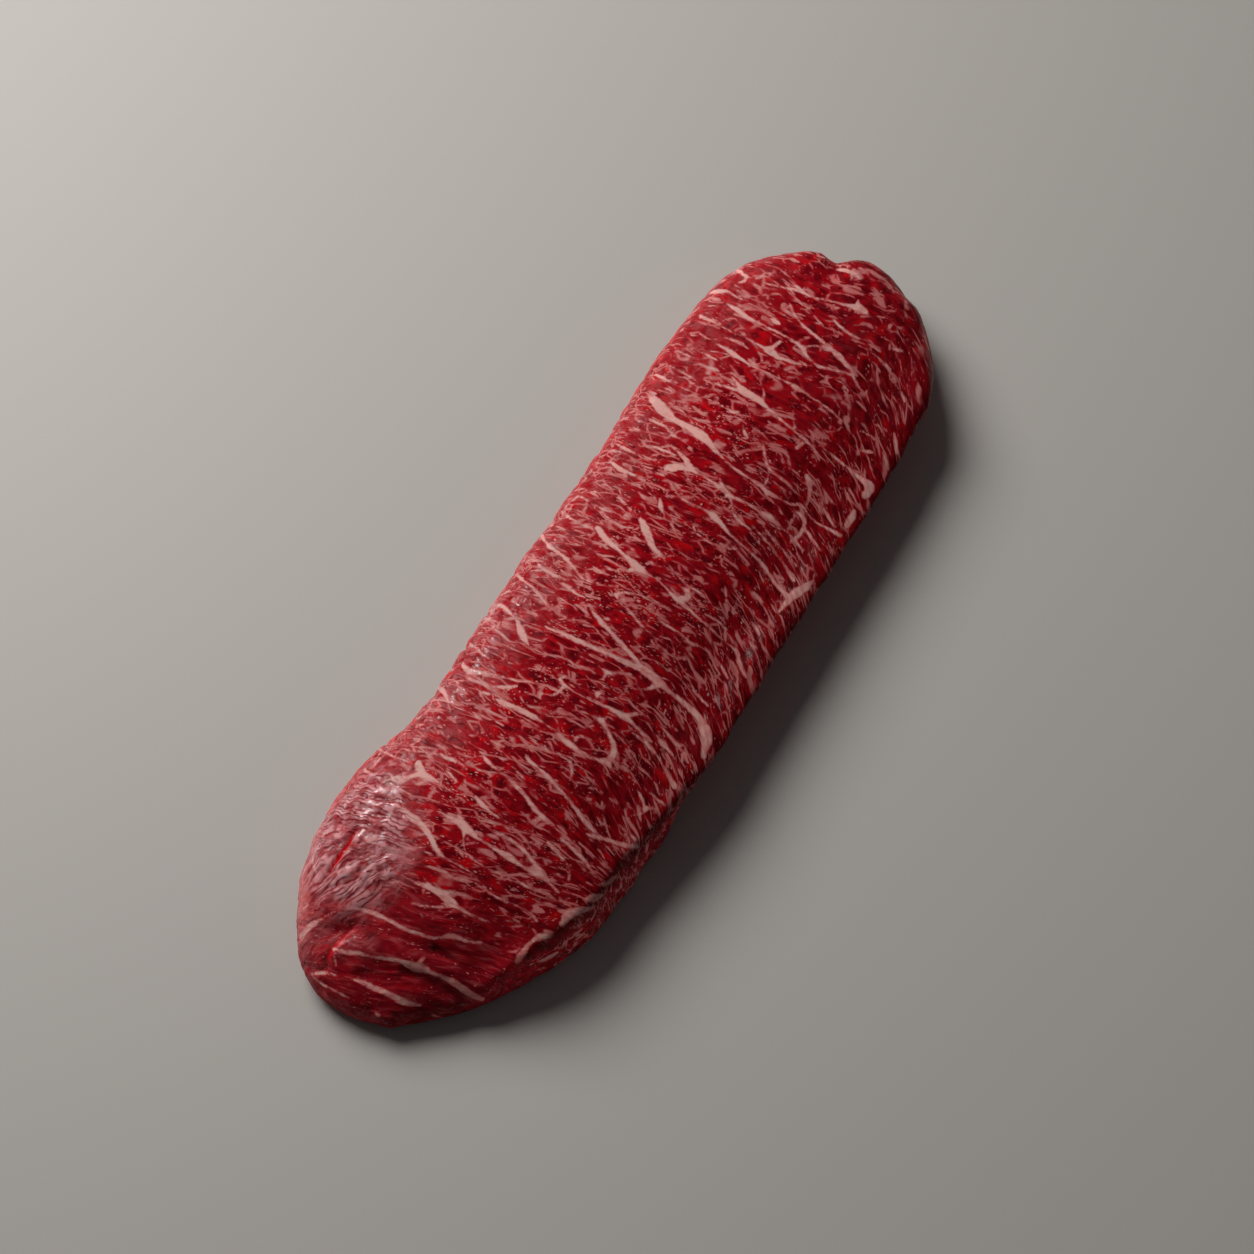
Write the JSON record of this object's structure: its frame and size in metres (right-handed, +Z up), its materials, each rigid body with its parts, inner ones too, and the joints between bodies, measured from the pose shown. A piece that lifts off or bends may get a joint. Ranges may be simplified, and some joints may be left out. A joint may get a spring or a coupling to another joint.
{
  "type": "wagyu flat iron steak",
  "caption": "Raw, finely marbled flat iron steak: one long slab of boneless beef with a thick rounded near end, a fold, a rolled long side and a trimmed one.",
  "frame": {"origin": "middle of the steak's bounding box, on the surface that the steak lies on", "axes": "+X along the steak towards its blunt far end, +Y across it towards its rolled long side, +Z up through its thickness"},
  "size_m": [0.2822, 0.0846, 0.0243],
  "materials": {
    "raw_beef": "wet raw beef: crimson meat with fine pinkish-white fat marbling, moist sheen and a crinkled skin on the thick end"
  },
  "bodies": {
    "root": {"steak": "raw_beef"}
  },
  "joints": []
}
